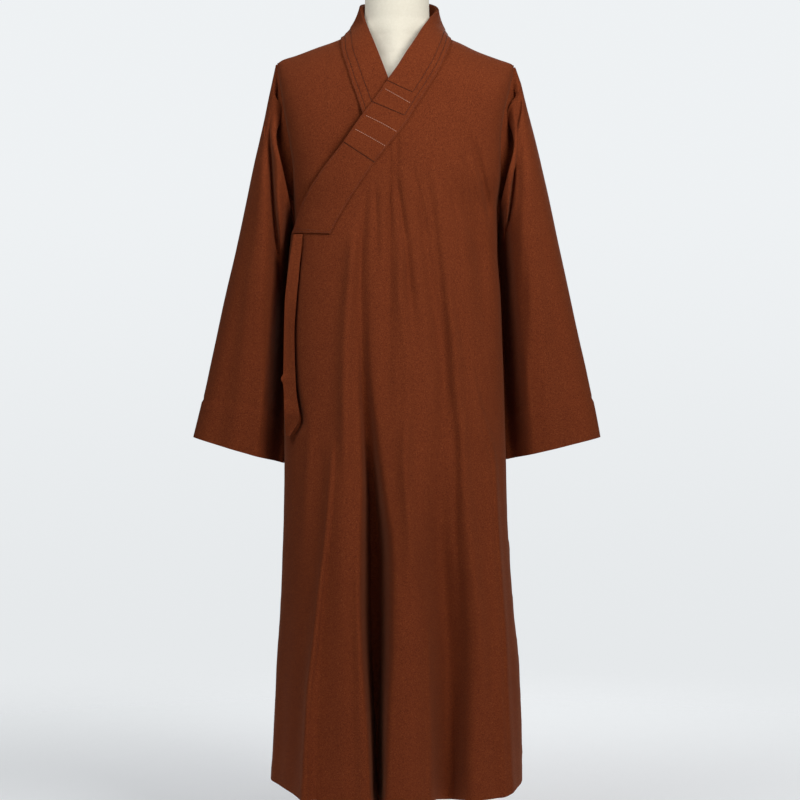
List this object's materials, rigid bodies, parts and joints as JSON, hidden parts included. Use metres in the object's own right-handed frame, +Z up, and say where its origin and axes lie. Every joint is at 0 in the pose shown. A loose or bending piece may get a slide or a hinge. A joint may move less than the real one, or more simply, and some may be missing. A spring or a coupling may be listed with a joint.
{
  "type": "buddhist monk robe on a dress form",
  "caption": "Long russet monk's robe with crossed tiered collar, wide straight sleeves and a hanging tie, worn by a limbless dress form on a round stand.",
  "frame": {"origin": "on the floor, at the middle of the underside of the stand's round base", "axes": "+Z up along the pole, -Y to the front of the robe, +X to the wearer's left"},
  "size_m": [0.723, 0.3879, 1.536],
  "materials": {
    "russet_wool": "matt brushed",
    "cream_linen": "matt woven",
    "cream_cap": "matt",
    "brushed_steel": "brushed",
    "white_enamel": "satin"
  },
  "bodies": {
    "root": {"front_left": "russet_wool", "front_right": "russet_wool", "back": "russet_wool", "sleeve_left": "russet_wool", "sleeve_right": "russet_wool", "collar_base": "russet_wool", "collar_tier_low": "russet_wool", "collar_tier_mid": "russet_wool", "collar_tier_top": "russet_wool", "tie": "russet_wool", "form_body": "cream_linen", "form_cap": "cream_cap", "form_collar": "brushed_steel", "form_pole": "brushed_steel", "form_socket": "brushed_steel", "form_base": "white_enamel"}
  },
  "joints": []
}
